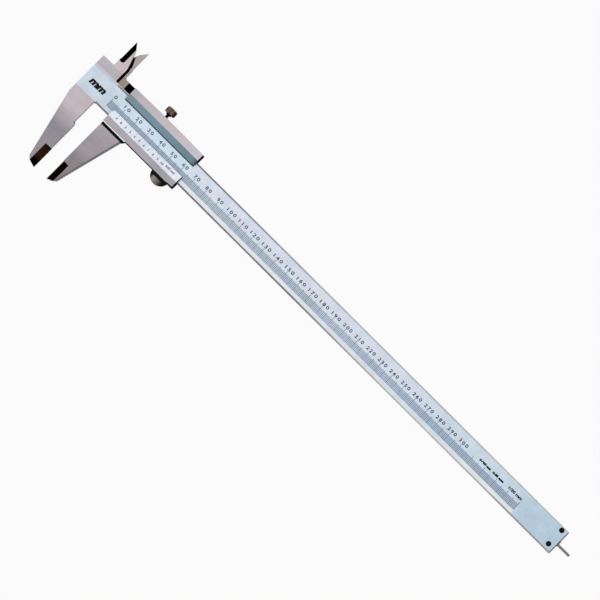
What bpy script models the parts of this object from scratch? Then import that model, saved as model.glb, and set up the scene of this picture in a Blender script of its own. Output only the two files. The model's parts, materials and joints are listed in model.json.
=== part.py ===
"""A 300 mm vernier caliper with outer jaws, inside jaws, depth bar and lock screw.

It lies on its back, +Z up, with the beam along +X and the outer jaws towards -Y.
Shapes are drawn about the fixed measuring face (x = 0), the beam's lower edge
(y = 0) and the table (z = 0); the empty "caliper" then puts the middle of the
whole outline at the world's origin. Slider shapes are drawn about the moving
measuring face and hang under the empty "slider", which slides along X.
"""

import math
from collections import namedtuple

import bmesh
import bpy
from mathutils import Matrix, Vector

MM = 0.001
Fastener = namedtuple("Fastener", "head head_height shank length slot_depth")

# Fits, and how far a cutter runs past what it cuts
GAP = 0.3 * MM
BORE_GAP = 0.2 * MM
THROUGH = 1.0 * MM
FACET_CUT = 8.0 * MM

# Pose
OPENING = 10.3 * MM

# Heights: slider back, beam, front lips
WALL = 2.7 * MM
BEAM_BACK = WALL + GAP
BEAM_THICKNESS = 4.0 * MM
BEAM_FRONT = BEAM_BACK + BEAM_THICKNESS
LIP_BACK = BEAM_FRONT + GAP
LIP_EDGE = 0.4 * MM
SLIDER_FRONT = 9.4 * MM
MID = BEAM_BACK + BEAM_THICKNESS / 2
JAW_GAP = 0.15 * MM
KNIFE_EDGE = 0.3 * MM
BARE_EDGE = 0.8 * MM

# Beam and fixed head
HEAD_LEFT = -17.7 * MM
BEAM_RIGHT = 389.8 * MM
BEAM_WIDTH = 18.0 * MM
BEAM_CHAMFER = 0.7 * MM
CHAMFER_LEFT = 1.5 * MM
HEAD_TOP = 24.5 * MM
HEAD_RELIEF = 1.3 * MM
FIXED_TIP_Y = -54.4 * MM
MOVING_TIP_Y = -53.9 * MM
INSIDE_EDGE = -9.1 * MM
INSIDE_TIP_Y = 44.6 * MM
FIXED_JAW_SIDE = ((HEAD_LEFT, -5.4 * MM), (-7.0 * MM, -50.8 * MM), (-4.9 * MM, -52.8 * MM))
FIXED_JAW_STEP = ((0.0, -18.6 * MM), (-1.4 * MM, -16.6 * MM))
JAW_ROOT_RADIUS = 1.4 * MM
HEAD_ROOT_RADIUS = 1.5 * MM
HEAD_CORNER = 0.6 * MM
INSIDE_JAW_TIP = ((0.0, INSIDE_TIP_Y), (3.7 * MM, 40.0 * MM), (4.5 * MM, 38.3 * MM))
INSIDE_JAW_BLEND = (27.1 * MM, 8.0 * MM)
NIB_TOP = -38.6 * MM
NIB_REACH = 11.0 * MM
FIXED_NIB_WIDTH = 5.0 * MM
MOVING_NIB_WIDTH = 4.3 * MM
INSIDE_NIB_WIDTH = 3.4 * MM
INSIDE_NIB_ROUND_Y = 30.6 * MM

# Slider
SLIDER_LENGTH = 58.8 * MM
LIP_LEFT = 0.4 * MM
SLIDER_LOW = -4.5 * MM
SLIDER_TOP = 23.8 * MM
SLIDER_CROWN = 0.4 * MM
SLIDER_CORNER = 0.8 * MM
MOVING_JAW_SIDE = ((3.2 * MM, -52.6 * MM), (5.5 * MM, -50.8 * MM))
MOVING_JAW_FLARE = ((16.8 * MM, SLIDER_LOW - 2.5 * MM), (18.8 * MM, SLIDER_LOW))
JAW_REACH_X = 30.0 * MM
LOWER_BEVEL = (0.4 * MM, 5.4 * MM)
UPPER_BEVEL = (14.4 * MM, 19.1 * MM)
LIP_CORNER = 1.4 * MM
ARM_TOP = 23.5 * MM
ARM_CORNER = 0.8 * MM
ARM_RAMP_LENGTH = 5.2 * MM
ARM_RAMP_DEPTH = 1.9 * MM

# Gib, set screws and lock screw
GIB_X = (3.6 * MM, 55.4 * MM)
GIB_THICKNESS = 1.2 * MM
GIB_Z = (3.7 * MM, 6.3 * MM)
SET_SCREW_X = (10.0 * MM, 47.0 * MM)
SET_SCREW_RADIUS = 1.0 * MM
SET_SCREW_LENGTH = 2.7 * MM
LOCK_X = 25.5 * MM
LOCK_STEM_RADIUS = 1.1 * MM
LOCK_HEAD_RADIUS = 3.7 * MM
LOCK_HEAD_Y = (26.8 * MM, 31.2 * MM)
LOCK_HEAD_BEVEL = 0.5 * MM
SLOT_HALF_WIDTH = 0.2 * MM
SET_SLOT_DEPTH = 0.6 * MM

# Depth bar, its groove, the back plate and their fasteners
DEPTH_BAR_Y = 7.7 * MM
DEPTH_BAR_WIDTH = 1.7 * MM
DEPTH_BAR_Z = (BEAM_BACK + 0.1 * MM, BEAM_BACK + 1.9 * MM)
DEPTH_BAR_LEFT = 24.0 * MM
DEPTH_FOOT_RIGHT = 46.0 * MM
DEPTH_FOOT_WIDTH = 5.8 * MM
GROOVE_DEPTH = 2.2 * MM
GROOVE_LEFT = 20.0 * MM
PLATE_X = (13.3 * MM, 54.7 * MM)
PLATE_Y = (1.2 * MM, 15.2 * MM)
PLATE_Z = (0.1 * MM, 1.2 * MM)
PLATE_CORNER = 0.6 * MM
PLATE_SEAT = 0.85 * MM
PLATE_SCREW_INSET = 2.6 * MM
PLATE_SCREW = Fastener(1.5 * MM, 0.55 * MM, 0.8 * MM, 2.3 * MM, 0.25 * MM)
PLATE_SCREW_FACE = PLATE_Z[0] + 0.1 * MM
RIVET_X = (29.0 * MM, 41.0 * MM)
RIVET = Fastener(1.2 * MM, 0.55 * MM, 0.55 * MM, 3.9 * MM, 0.0)
RIVET_HOLE_TOP = DEPTH_BAR_Z[1] - 0.5 * MM

# Finger rest under the slider
REST_CENTRE = (48.5 * MM, -3.6 * MM)
REST_RADIUS = 6.4 * MM
REST_Z = (3.3 * MM, 6.7 * MM)
REST_TONGUE = 4.0 * MM
REST_TONGUE_TOP = -2.6 * MM

# Depth-bar guide, which also stops the slider, and its screws
GUIDE_LEFT = 375.0 * MM
GUIDE_INSET = 0.6 * MM
GUIDE_NOSE = 1.5 * MM
GUIDE_NOSE_HALF = 3.2 * MM
GUIDE_NOSE_Y = 8.6 * MM
GUIDE_SCREW_X = 385.4 * MM
GUIDE_SCREW_Y = (4.2 * MM, 15.7 * MM)
GUIDE_SCREW = Fastener(1.5 * MM, 1.1 * MM, 0.8 * MM, 5.8 * MM, 0.45 * MM)
GUIDE_SCREW_FACE = BEAM_FRONT - 0.05 * MM
GUIDE_SCREW_SEAT = BEAM_FRONT - 1.4 * MM
GUIDE_HOLE_FLOOR = 0.8 * MM
HEAD_EDGE_BREAK = 0.15 * MM


def clear_scene():
    for item in list(bpy.data.objects):
        bpy.data.objects.remove(item, do_unlink=True)


def new_collection(name):
    collection = bpy.data.collections.new(name)
    bpy.context.scene.collection.children.link(collection)
    return collection


def new_empty(name, parent, location):
    empty = bpy.data.objects.new(name, None)
    PARTS.objects.link(empty)
    empty.parent = parent
    empty.location = location
    empty.empty_display_size = 0.01
    return empty


def metal(name, colour, roughness, metallic=1.0):
    material = bpy.data.materials.new(name)
    material.use_nodes = True
    shader = material.node_tree.nodes["Principled BSDF"]
    shader.inputs["Base Color"].default_value = (*colour, 1.0)
    shader.inputs["Roughness"].default_value = roughness
    shader.inputs["Metallic"].default_value = metallic
    return material


def arc(centre, radius, start_deg, end_deg, steps):
    """Points on an arc, both ends included."""
    points = []
    for i in range(steps + 1):
        angle = math.radians(start_deg + (end_deg - start_deg) * i / steps)
        points.append((centre[0] + radius * math.cos(angle), centre[1] + radius * math.sin(angle)))
    return points


def add_object(name, mesh, parent, cutter):
    item = bpy.data.objects.new(name, mesh)
    collection = CUTTERS if cutter else PARTS
    collection.objects.link(item)
    item.parent = parent
    if cutter:
        item.hide_render = True
        item.display_type = "WIRE"
    return item


def plate(name, outline, low, high, parent, cutter=False):
    """A flat outline in XY, made solid between two heights."""
    curve = bpy.data.curves.new(name, "CURVE")
    curve.dimensions = "2D"
    curve.fill_mode = "BOTH"
    curve.extrude = (high - low) / 2
    spline = curve.splines.new("POLY")
    spline.points.add(len(outline) - 1)
    for point, (x, y) in zip(spline.points, outline):
        point.co = (x, y, 0.0, 1.0)
    spline.use_cyclic_u = True
    drawn = bpy.data.objects.new(name + "_outline", curve)
    PARTS.objects.link(drawn)
    graph = bpy.context.evaluated_depsgraph_get()
    mesh = bpy.data.meshes.new_from_object(drawn.evaluated_get(graph))
    bpy.data.objects.remove(drawn, do_unlink=True)
    shape = bmesh.new()
    shape.from_mesh(mesh)
    bmesh.ops.remove_doubles(shape, verts=shape.verts, dist=1e-6)
    bmesh.ops.translate(shape, verts=shape.verts, vec=(0.0, 0.0, (low + high) / 2))
    bmesh.ops.recalc_face_normals(shape, faces=shape.faces)
    shape.to_mesh(mesh)
    shape.free()
    mesh.name = name
    return add_object(name, mesh, parent, cutter)


def profile_bar(name, outline_yz, left, right, parent, cutter=False):
    """A flat outline in YZ, made solid along X."""
    item = plate(name, outline_yz, left, right, parent, cutter)
    item.data.transform(Matrix(((0, 0, 1, 0), (1, 0, 0, 0), (0, 1, 0, 0), (0, 0, 0, 1))))
    return item


def box(name, low, high, parent, cutter=False):
    low, high = Vector(low), Vector(high)
    shape = bmesh.new()
    bmesh.ops.create_cube(shape, size=1.0)
    bmesh.ops.scale(shape, vec=high - low, verts=shape.verts)
    bmesh.ops.translate(shape, vec=(low + high) / 2, verts=shape.verts)
    mesh = bpy.data.meshes.new(name)
    shape.to_mesh(mesh)
    shape.free()
    return add_object(name, mesh, parent, cutter)


def peg(name, radius, start, end, parent, steps=24, cutter=False):
    """A straight cylinder from start to end."""
    start, end = Vector(start), Vector(end)
    shape = bmesh.new()
    bmesh.ops.create_cone(
        shape,
        cap_ends=True,
        segments=steps,
        radius1=radius,
        radius2=radius,
        depth=(end - start).length,
    )
    turn = (end - start).to_track_quat("Z", "Y").to_matrix()
    bmesh.ops.rotate(shape, verts=shape.verts, matrix=turn)
    bmesh.ops.translate(shape, verts=shape.verts, vec=(start + end) / 2)
    mesh = bpy.data.meshes.new(name)
    shape.to_mesh(mesh)
    shape.free()
    return add_object(name, mesh, parent, cutter)


def turned(name, profile, parent, location, rotation, steps=24):
    """A turned piece about its own Z: profile is (radius, height) from the top down."""
    shape = bmesh.new()
    points = [shape.verts.new((radius, 0.0, height)) for radius, height in profile]
    for first, second in zip(points, points[1:]):
        shape.edges.new((first, second))
    mesh = bpy.data.meshes.new(name)
    shape.to_mesh(mesh)
    shape.free()
    item = add_object(name, mesh, parent, False)
    item.location = location
    item.rotation_euler = rotation
    screw = item.modifiers.new("turn", "SCREW")
    screw.axis = "Z"
    screw.steps = steps
    screw.render_steps = steps
    screw.use_merge_vertices = True
    screw.merge_threshold = 1e-6
    screw.use_smooth_shade = False
    return item


def cut(item, *cutters):
    for cutter in cutters:
        boolean = item.modifiers.new(cutter.name, "BOOLEAN")
        boolean.operation = "DIFFERENCE"
        boolean.solver = "EXACT"
        boolean.object = cutter


def join(item, other):
    """Adds another solid to this one; the other becomes a helper."""
    boolean = item.modifiers.new(other.name, "BOOLEAN")
    boolean.operation = "UNION"
    boolean.solver = "EXACT"
    boolean.object = other


def finish(item, material):
    item.data.materials.clear()
    item.data.materials.append(material)
    return item


def facet(name, outline, hinge_x, edge_x, hinge_z, edge_z, parent):
    """A cutter that leaves a sloping facet from the line x = hinge_x down to the edge.

    outline is drawn flat with u = 0 on the hinge line and +u towards the edge.
    """
    run = edge_x - hinge_x
    drop = edge_z - hinge_z
    up = 1.0 if drop < 0 else -1.0
    side = 1.0 if run > 0 else -1.0
    item = plate(name, outline, 0.0, FACET_CUT, parent, cutter=True)
    item.data.transform(Matrix.Diagonal((side, 1.0, up, 1.0)))
    if side * up < 0:
        item.data.flip_normals()
    slope = math.atan2(drop, abs(run)) * side
    turn = Matrix.Rotation(-slope, 4, "Y")
    item.data.transform(Matrix.Translation((hinge_x, 0.0, hinge_z)) @ turn)
    return item


def nib_outline(top, bottom):
    """The plain facet of an outer jaw's tip, which starts at a sharp step."""
    return [(0.0, bottom), (NIB_REACH, bottom), (NIB_REACH, top), (0.0, top)]


def round_nib_outline():
    """The facet of an inside jaw's knife edge, which ends in a half circle."""
    radius = INSIDE_NIB_WIDTH / 2
    top = INSIDE_TIP_Y + NIB_REACH
    end = arc((radius, INSIDE_NIB_ROUND_Y), radius, 180, 360, 12)
    return end + [(NIB_REACH, INSIDE_NIB_ROUND_Y), (NIB_REACH, top), (0.0, top)]


def outer_nib_facets(name, hinge_x, parent):
    """Front and back facets that thin an outer jaw's tip to a narrow measuring edge."""
    outline = nib_outline(NIB_TOP, FIXED_TIP_Y - 5 * THROUGH)
    half = BARE_EDGE / 2
    return (
        facet(name + "_front", outline, hinge_x, 0.0, BEAM_FRONT, MID + half, parent),
        facet(name + "_back", outline, hinge_x, 0.0, BEAM_BACK, MID - half, parent),
    )


def inside_jaw_side():
    """One inside jaw from its tip down its outer side to the foot, as (distance from edge, y)."""
    foot = abs(INSIDE_EDGE) - HEAD_RELIEF
    y, radius = INSIDE_JAW_BLEND
    return list(INSIDE_JAW_TIP) + arc((foot - radius, y), radius, 18, 0, 6)


def make_main_beam():
    """Beam, fixed outer jaw and fixed inside jaw in one piece."""
    inside = [(INSIDE_EDGE + u, y) for u, y in inside_jaw_side()]
    root_x = HEAD_ROOT_RADIUS - HEAD_RELIEF
    root = arc((root_x, BEAM_WIDTH + HEAD_ROOT_RADIUS), HEAD_ROOT_RADIUS, 180, 270, 6)
    jaw_root = arc((0.0, -JAW_ROOT_RADIUS), JAW_ROOT_RADIUS, 90, 180, 6)
    outline = list(FIXED_JAW_SIDE) + [(0.0, FIXED_TIP_Y)] + list(FIXED_JAW_STEP)
    outline += reversed(jaw_root)
    outline += [(BEAM_RIGHT, 0.0), (BEAM_RIGHT, BEAM_WIDTH)]
    outline += reversed(root)
    outline += reversed(inside)
    fillet = (INSIDE_EDGE - ARM_CORNER, HEAD_TOP + ARM_CORNER)
    outline += arc(fillet, ARM_CORNER, 0, -90, 5)
    outline += [(HEAD_LEFT + HEAD_CORNER, HEAD_TOP), (HEAD_LEFT, HEAD_TOP - HEAD_CORNER)]
    beam = plate("main_beam", outline, BEAM_BACK, BEAM_FRONT, CALIPER)

    far = BEAM_RIGHT + THROUGH
    rear = box(
        "cut_head_rear",
        (HEAD_LEFT - THROUGH, BEAM_WIDTH, 0.0),
        (2 * THROUGH, INSIDE_TIP_Y + THROUGH, MID + JAW_GAP),
        CALIPER,
        cutter=True,
    )
    knife = facet(
        "cut_fixed_knife",
        round_nib_outline(),
        INSIDE_EDGE + INSIDE_NIB_WIDTH,
        INSIDE_EDGE,
        BEAM_FRONT,
        MID + JAW_GAP + KNIFE_EDGE,
        CALIPER,
    )
    half = DEPTH_BAR_WIDTH / 2 + GAP
    groove = box(
        "cut_groove",
        (GROOVE_LEFT, DEPTH_BAR_Y - half, BEAM_BACK - THROUGH),
        (far, DEPTH_BAR_Y + half, BEAM_BACK + GROOVE_DEPTH),
        CALIPER,
        cutter=True,
    )
    cut(beam, rear, knife, groove)
    cut(beam, *outer_nib_facets("cut_fixed_nib", -FIXED_NIB_WIDTH, CALIPER))
    for label, edge, into in (("low", 0.0, 1), ("high", BEAM_WIDTH, -1)):
        c = BEAM_CHAMFER
        corner = [
            (edge - into * c, BEAM_FRONT + c),
            (edge - into * c, BEAM_FRONT - 2 * c),
            (edge + into * 2 * c, BEAM_FRONT + c),
        ]
        cut(beam, profile_bar("cut_chamfer_" + label, corner, CHAMFER_LEFT, far, CALIPER, cutter=True))
    for i, y in enumerate(GUIDE_SCREW_Y):
        cut(beam, *guide_screw_hole(f"cut_beam_hole_{i}", y))
    return finish(beam, SATIN_CHROME)


def guide_screw_hole(name, y):
    """A counterbored through hole for one guide screw."""
    x, top = GUIDE_SCREW_X, BEAM_FRONT + THROUGH
    shank = GUIDE_SCREW.shank + BORE_GAP
    seat = GUIDE_SCREW.head + BORE_GAP
    return (
        peg(name, shank, (x, y, GUIDE_HOLE_FLOOR), (x, y, top), CALIPER, cutter=True),
        peg(name + "_seat", seat, (x, y, GUIDE_SCREW_SEAT), (x, y, top), CALIPER, cutter=True),
    )


def slider_outline():
    """Plan of the slider: channel body, moving outer jaw, arm and moving inside jaw."""
    outline = [(0.0, MOVING_TIP_Y)] + list(MOVING_JAW_SIDE) + list(MOVING_JAW_FLARE)
    corner = (SLIDER_LENGTH - SLIDER_CORNER, SLIDER_LOW + SLIDER_CORNER)
    outline += arc(corner, SLIDER_CORNER, -90, 0, 4)
    rise = SLIDER_CROWN
    span = SLIDER_LENGTH / 2
    crown_radius = (span**2 + rise**2) / (2 * rise)
    half_angle = math.degrees(math.asin(span / crown_radius))
    crown_centre = (span, SLIDER_TOP + rise - crown_radius)
    outline += arc(crown_centre, crown_radius, 90 - half_angle, 90 + half_angle, 12)
    outline += [(0.0, ARM_TOP)]
    fillet = (INSIDE_EDGE + ARM_CORNER, ARM_TOP + ARM_CORNER)
    outline += arc(fillet, ARM_CORNER, 270, 180, 5)
    outline += [(INSIDE_EDGE - u, y) for u, y in inside_jaw_side()]
    foot = 2 * INSIDE_EDGE + HEAD_RELIEF
    outline += [(foot, BEAM_WIDTH + GAP), (0.0, BEAM_WIDTH + GAP)]
    return outline


def make_slider_body():
    """Channel-shaped slider with the moving outer jaw and, behind the fixed one, the inside jaw."""
    slider = plate("slider_body", slider_outline(), 0.0, SLIDER_FRONT, SLIDER)
    far = SLIDER_LENGTH + THROUGH
    top = SLIDER_FRONT + THROUGH
    low_y, high_y = MOVING_TIP_Y - THROUGH, INSIDE_TIP_Y + THROUGH
    left = -JAW_REACH_X

    def block(name, low, high):
        return box(name, low, high, SLIDER, cutter=True)

    channel = block("cut_channel", (left, -GAP, WALL), (far, BEAM_WIDTH + GAP, LIP_BACK))
    gib_pocket = block(
        "cut_gib_pocket",
        (GIB_X[0] - GAP, BEAM_WIDTH, GIB_Z[0] - GAP),
        (GIB_X[1] + GAP, BEAM_WIDTH + 2 * GAP + GIB_THICKNESS, GIB_Z[1] + GAP),
    )
    window = profile_bar(
        "cut_window",
        [
            (LOWER_BEVEL[1], LIP_BACK - THROUGH),
            (UPPER_BEVEL[0], LIP_BACK - THROUGH),
            (UPPER_BEVEL[0], LIP_BACK + LIP_EDGE),
            (UPPER_BEVEL[1], SLIDER_FRONT),
            (UPPER_BEVEL[1], top),
            (LOWER_BEVEL[0], top),
            (LOWER_BEVEL[0], SLIDER_FRONT),
            (LOWER_BEVEL[1], LIP_BACK + LIP_EDGE),
        ],
        -THROUGH,
        far,
        SLIDER,
        cutter=True,
    )
    cut(
        slider,
        channel,
        gib_pocket,
        window,
        block("cut_jaw_front", (-THROUGH, low_y, BEAM_FRONT), (JAW_REACH_X, SLIDER_LOW, top)),
        block("cut_jaw_back", (-THROUGH, low_y, -THROUGH), (JAW_REACH_X, SLIDER_LOW, BEAM_BACK)),
        block("cut_arm_front", (left, BEAM_WIDTH, MID - JAW_GAP), (LIP_LEFT, high_y, top)),
        block("cut_arm_back", (left, BEAM_WIDTH, -THROUGH), (INSIDE_EDGE, high_y, BEAM_BACK)),
        facet(
            "cut_moving_knife",
            round_nib_outline(),
            INSIDE_EDGE - INSIDE_NIB_WIDTH,
            INSIDE_EDGE,
            BEAM_BACK,
            MID - JAW_GAP - KNIFE_EDGE,
            SLIDER,
        ),
        *outer_nib_facets("cut_moving_nib", MOVING_NIB_WIDTH, SLIDER),
        arm_ramp(),
        lip_corner(),
    )
    cut(slider, *back_plate_pocket())
    cut(slider, *top_screw_holes())
    cut(slider, rest_slot())
    return finish(slider, GROUND_STEEL)


def arm_ramp():
    """The sloping pocket milled across the arm beside the slider's end."""
    floor = MID - JAW_GAP
    ramp = [
        (LIP_LEFT, floor),
        (LIP_LEFT, floor + THROUGH),
        (-ARM_RAMP_LENGTH, floor + THROUGH),
        (-ARM_RAMP_LENGTH, floor - ARM_RAMP_DEPTH),
    ]
    item = plate("cut_arm_ramp", ramp, -ARM_TOP - THROUGH, -BEAM_WIDTH, SLIDER, cutter=True)
    item.data.transform(Matrix(((1, 0, 0, 0), (0, 0, -1, 0), (0, 1, 0, 0), (0, 0, 0, 1))))
    return item


def lip_corner():
    """Rounds the left end of the vernier's edge."""
    r = LIP_CORNER
    edge = LOWER_BEVEL[1]
    outside = [(-THROUGH, edge - r), (-THROUGH, edge + THROUGH), (r, edge + THROUGH)]
    outline = outside + arc((r, edge - r), r, 90, 180, 6)
    return plate("cut_lip_corner", outline, LIP_BACK - GAP / 2, SLIDER_FRONT, SLIDER, cutter=True)


def back_plate_pocket():
    """The recess for the back plate, the window for the depth bar's foot, and four tapped holes."""
    recess = box(
        "cut_plate_recess",
        (PLATE_X[0] - GAP, PLATE_Y[0] - GAP, -THROUGH),
        (PLATE_X[1] + GAP, PLATE_Y[1] + GAP, PLATE_Z[1] + GAP),
        SLIDER,
        cutter=True,
    )
    half = DEPTH_FOOT_WIDTH / 2 + GAP
    window = box(
        "cut_foot_window",
        (DEPTH_BAR_LEFT - GAP, DEPTH_BAR_Y - half, 0.0),
        (DEPTH_FOOT_RIGHT + GAP, DEPTH_BAR_Y + half, WALL + GAP / 2),
        SLIDER,
        cutter=True,
    )
    holes = []
    for i, (x, y) in enumerate(plate_screw_places()):
        radius = PLATE_SCREW.shank + BORE_GAP
        start, end = (x, y, 0.0), (x, y, WALL + GAP / 2)
        holes.append(peg(f"cut_plate_tap_{i}", radius, start, end, SLIDER, cutter=True))
    return [recess, window] + holes


def top_screw_holes():
    """Tapped holes from the slider's top edge down to the gib."""
    z = (GIB_Z[0] + GIB_Z[1]) / 2
    bottom, top = BEAM_WIDTH + GAP, SLIDER_TOP + 2 * THROUGH
    places = [(x, SET_SCREW_RADIUS) for x in SET_SCREW_X] + [(LOCK_X, LOCK_STEM_RADIUS)]
    holes = []
    for i, (x, radius) in enumerate(places):
        start, end = (x, bottom, z), (x, top, z)
        holes.append(peg(f"cut_top_tap_{i}", radius + BORE_GAP, start, end, SLIDER, cutter=True))
    return holes


def rest_slot():
    """The slot in the lower rail that holds the finger rest's tongue."""
    x = REST_CENTRE[0]
    half = REST_TONGUE + GAP
    return box(
        "cut_rest_slot",
        (x - half, SLIDER_LOW - THROUGH, REST_Z[0] - GAP),
        (x + half, REST_TONGUE_TOP + GAP, REST_Z[1] + GAP),
        SLIDER,
        cutter=True,
    )


def make_finger_rest():
    """Half-round finger rest with a tongue that goes up into the slider's lower rail."""
    cx, cy = REST_CENTRE
    top = SLIDER_LOW - GAP
    reach = math.degrees(math.asin((cy - top) / REST_RADIUS))
    outline = [
        (cx + REST_TONGUE, top),
        (cx + REST_TONGUE, REST_TONGUE_TOP),
        (cx - REST_TONGUE, REST_TONGUE_TOP),
        (cx - REST_TONGUE, top),
    ]
    outline += arc((cx, cy), REST_RADIUS, 180 + reach, 360 - reach, 20)
    rest = plate("finger_rest", outline, REST_Z[0], REST_Z[1], SLIDER)
    return finish(rest, DARK_STEEL)


def make_gib_strip():
    """The flat strip that the set screws and the lock screw press against the beam's top edge."""
    gib = box(
        "gib_strip",
        (GIB_X[0], BEAM_WIDTH + GAP, GIB_Z[0]),
        (GIB_X[1], BEAM_WIDTH + GAP + GIB_THICKNESS, GIB_Z[1]),
        SLIDER,
    )
    return finish(gib, BRASS)


def gib_top():
    return BEAM_WIDTH + 2 * GAP + GIB_THICKNESS


def make_set_screws():
    """Two slotted grub screws, which set how firmly the gib runs."""
    z = (GIB_Z[0] + GIB_Z[1]) / 2
    r = SET_SCREW_RADIUS
    for i, x in enumerate(SET_SCREW_X):
        profile = [(0.0, SET_SCREW_LENGTH), (r, SET_SCREW_LENGTH), (r, r / 2), (r / 2, 0.0), (0.0, 0.0)]
        name = f"gib_set_screw_{i + 1}"
        screw = turned(name, profile, SLIDER, (x, gib_top(), z), (math.radians(-90), 0.0, 0.0))
        slot_floor = gib_top() + SET_SCREW_LENGTH - SET_SLOT_DEPTH
        slot = box(
            f"cut_set_slot_{i}",
            (x - 2 * r, slot_floor, z - SLOT_HALF_WIDTH),
            (x + 2 * r, slot_floor + 2 * THROUGH, z + SLOT_HALF_WIDTH),
            SLIDER,
            cutter=True,
        )
        cut(screw, slot)
        finish(screw, BLACK_OXIDE)


def make_lock_screw():
    """Knurled thumb screw: its stem goes down through the slider's top rail to the gib."""
    z = (GIB_Z[0] + GIB_Z[1]) / 2
    base = gib_top()
    foot, top = LOCK_HEAD_Y[0] - base, LOCK_HEAD_Y[1] - base
    stem, head = LOCK_STEM_RADIUS, LOCK_HEAD_RADIUS
    bevel = LOCK_HEAD_BEVEL
    profile = [
        (0.0, top),
        (head - bevel, top),
        (head, top - bevel),
        (head, foot + bevel),
        (head - bevel, foot),
        (stem, foot),
        (stem, stem / 2),
        (stem / 2, 0.0),
        (0.0, 0.0),
    ]
    screw = turned("lock_screw", profile, SLIDER, (LOCK_X, base, z), (math.radians(-90), 0.0, 0.0), 32)
    return finish(screw, BRONZE)


def make_depth_bar():
    """Depth bar in the beam's back groove, with a foot that drops through the slider's back wall."""
    half = DEPTH_BAR_WIDTH / 2
    tip = BEAM_RIGHT
    low, high = DEPTH_BAR_Z
    foot_low = PLATE_Z[1] + 2 * GAP
    side = [
        (DEPTH_BAR_LEFT, foot_low),
        (DEPTH_FOOT_RIGHT, foot_low),
        (DEPTH_FOOT_RIGHT, low),
        (tip, low),
        (tip, high),
        (DEPTH_BAR_LEFT, high),
    ]
    bar = plate("depth_bar", side, -DEPTH_BAR_Y - half, -DEPTH_BAR_Y + half, SLIDER)
    bar.data.transform(Matrix(((1, 0, 0, 0), (0, 0, -1, 0), (0, 1, 0, 0), (0, 0, 0, 1))))
    wide = DEPTH_FOOT_WIDTH / 2
    foot = box(
        "add_depth_foot",
        (DEPTH_BAR_LEFT, DEPTH_BAR_Y - wide, foot_low),
        (DEPTH_FOOT_RIGHT, DEPTH_BAR_Y + wide, WALL - GAP / 3),
        SLIDER,
        cutter=True,
    )
    join(bar, foot)
    for i, x in enumerate(RIVET_X):
        start = (x, DEPTH_BAR_Y, 0.0)
        end = (x, DEPTH_BAR_Y, RIVET_HOLE_TOP)
        cut(bar, peg(f"cut_bar_rivet_{i}", RIVET.shank + BORE_GAP, start, end, SLIDER, cutter=True))
    return finish(bar, BRIGHT_STEEL)


def plate_screw_places():
    inset = PLATE_SCREW_INSET
    for x in (PLATE_X[0] + inset, PLATE_X[1] - inset):
        for y in (PLATE_Y[0] + inset, PLATE_Y[1] - inset):
            yield x, y


def make_back_plate():
    """Cover let into the slider's back, which carries the depth bar."""
    inner = PLATE_CORNER
    (x0, x1), (y0, y1) = PLATE_X, PLATE_Y
    outline = arc((x0 + inner, y0 + inner), inner, 180, 270, 3)
    outline += arc((x1 - inner, y0 + inner), inner, 270, 360, 3)
    outline += arc((x1 - inner, y1 - inner), inner, 0, 90, 3)
    outline += arc((x0 + inner, y1 - inner), inner, 90, 180, 3)
    cover = plate("slider_back_plate", outline, PLATE_Z[0], PLATE_Z[1], SLIDER)
    fasteners = [(x, y, PLATE_SCREW) for x, y in plate_screw_places()]
    fasteners += [(x, DEPTH_BAR_Y, RIVET) for x in RIVET_X]
    for i, (x, y, kind) in enumerate(fasteners):
        start, top, seat = (x, y, -THROUGH), (x, y, PLATE_Z[1] + THROUGH), (x, y, PLATE_SEAT)
        hole = peg(f"cut_cover_{i}", kind.shank + BORE_GAP, start, top, SLIDER, cutter=True)
        sink = peg(f"cut_sink_{i}", kind.head + BORE_GAP, start, seat, SLIDER, cutter=True)
        cut(cover, hole, sink)
    return finish(cover, SATIN_CHROME)


def flush_fastener(name, kind, place, parent, material, facing):
    """A flat-headed screw or rivet: place is its outer face's centre, facing is 1 up or -1 down."""
    profile = [
        (0.0, 0.0),
        (kind.head - HEAD_EDGE_BREAK, 0.0),
        (kind.head, -HEAD_EDGE_BREAK),
        (kind.head, -kind.head_height),
        (kind.shank, -kind.head_height),
        (kind.shank, -kind.length),
        (0.0, -kind.length),
    ]
    turn = 0.0 if facing > 0 else math.radians(180)
    item = turned(name, profile, parent, place, (turn, 0.0, 0.0))
    if kind.slot_depth:
        x, y, z = place
        ends = sorted((z - kind.slot_depth * facing, z + THROUGH * facing))
        low = (x - 2 * kind.head, y - SLOT_HALF_WIDTH, ends[0])
        high = (x + 2 * kind.head, y + SLOT_HALF_WIDTH, ends[1])
        cut(item, box("cut_slot_" + name, low, high, parent, cutter=True))
    return finish(item, material)


def make_back_fasteners():
    """Four screws in the back plate, and the two rivets that hold the depth bar's foot."""
    for i, (x, y) in enumerate(plate_screw_places()):
        place = (x, y, PLATE_SCREW_FACE)
        flush_fastener(f"back_plate_screw_{i + 1}", PLATE_SCREW, place, SLIDER, BLACK_OXIDE, -1)
    for i, x in enumerate(RIVET_X):
        place = (x, DEPTH_BAR_Y, PLATE_SCREW_FACE)
        flush_fastener(f"depth_bar_rivet_{i + 1}", RIVET, place, SLIDER, BRIGHT_STEEL, -1)


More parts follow.
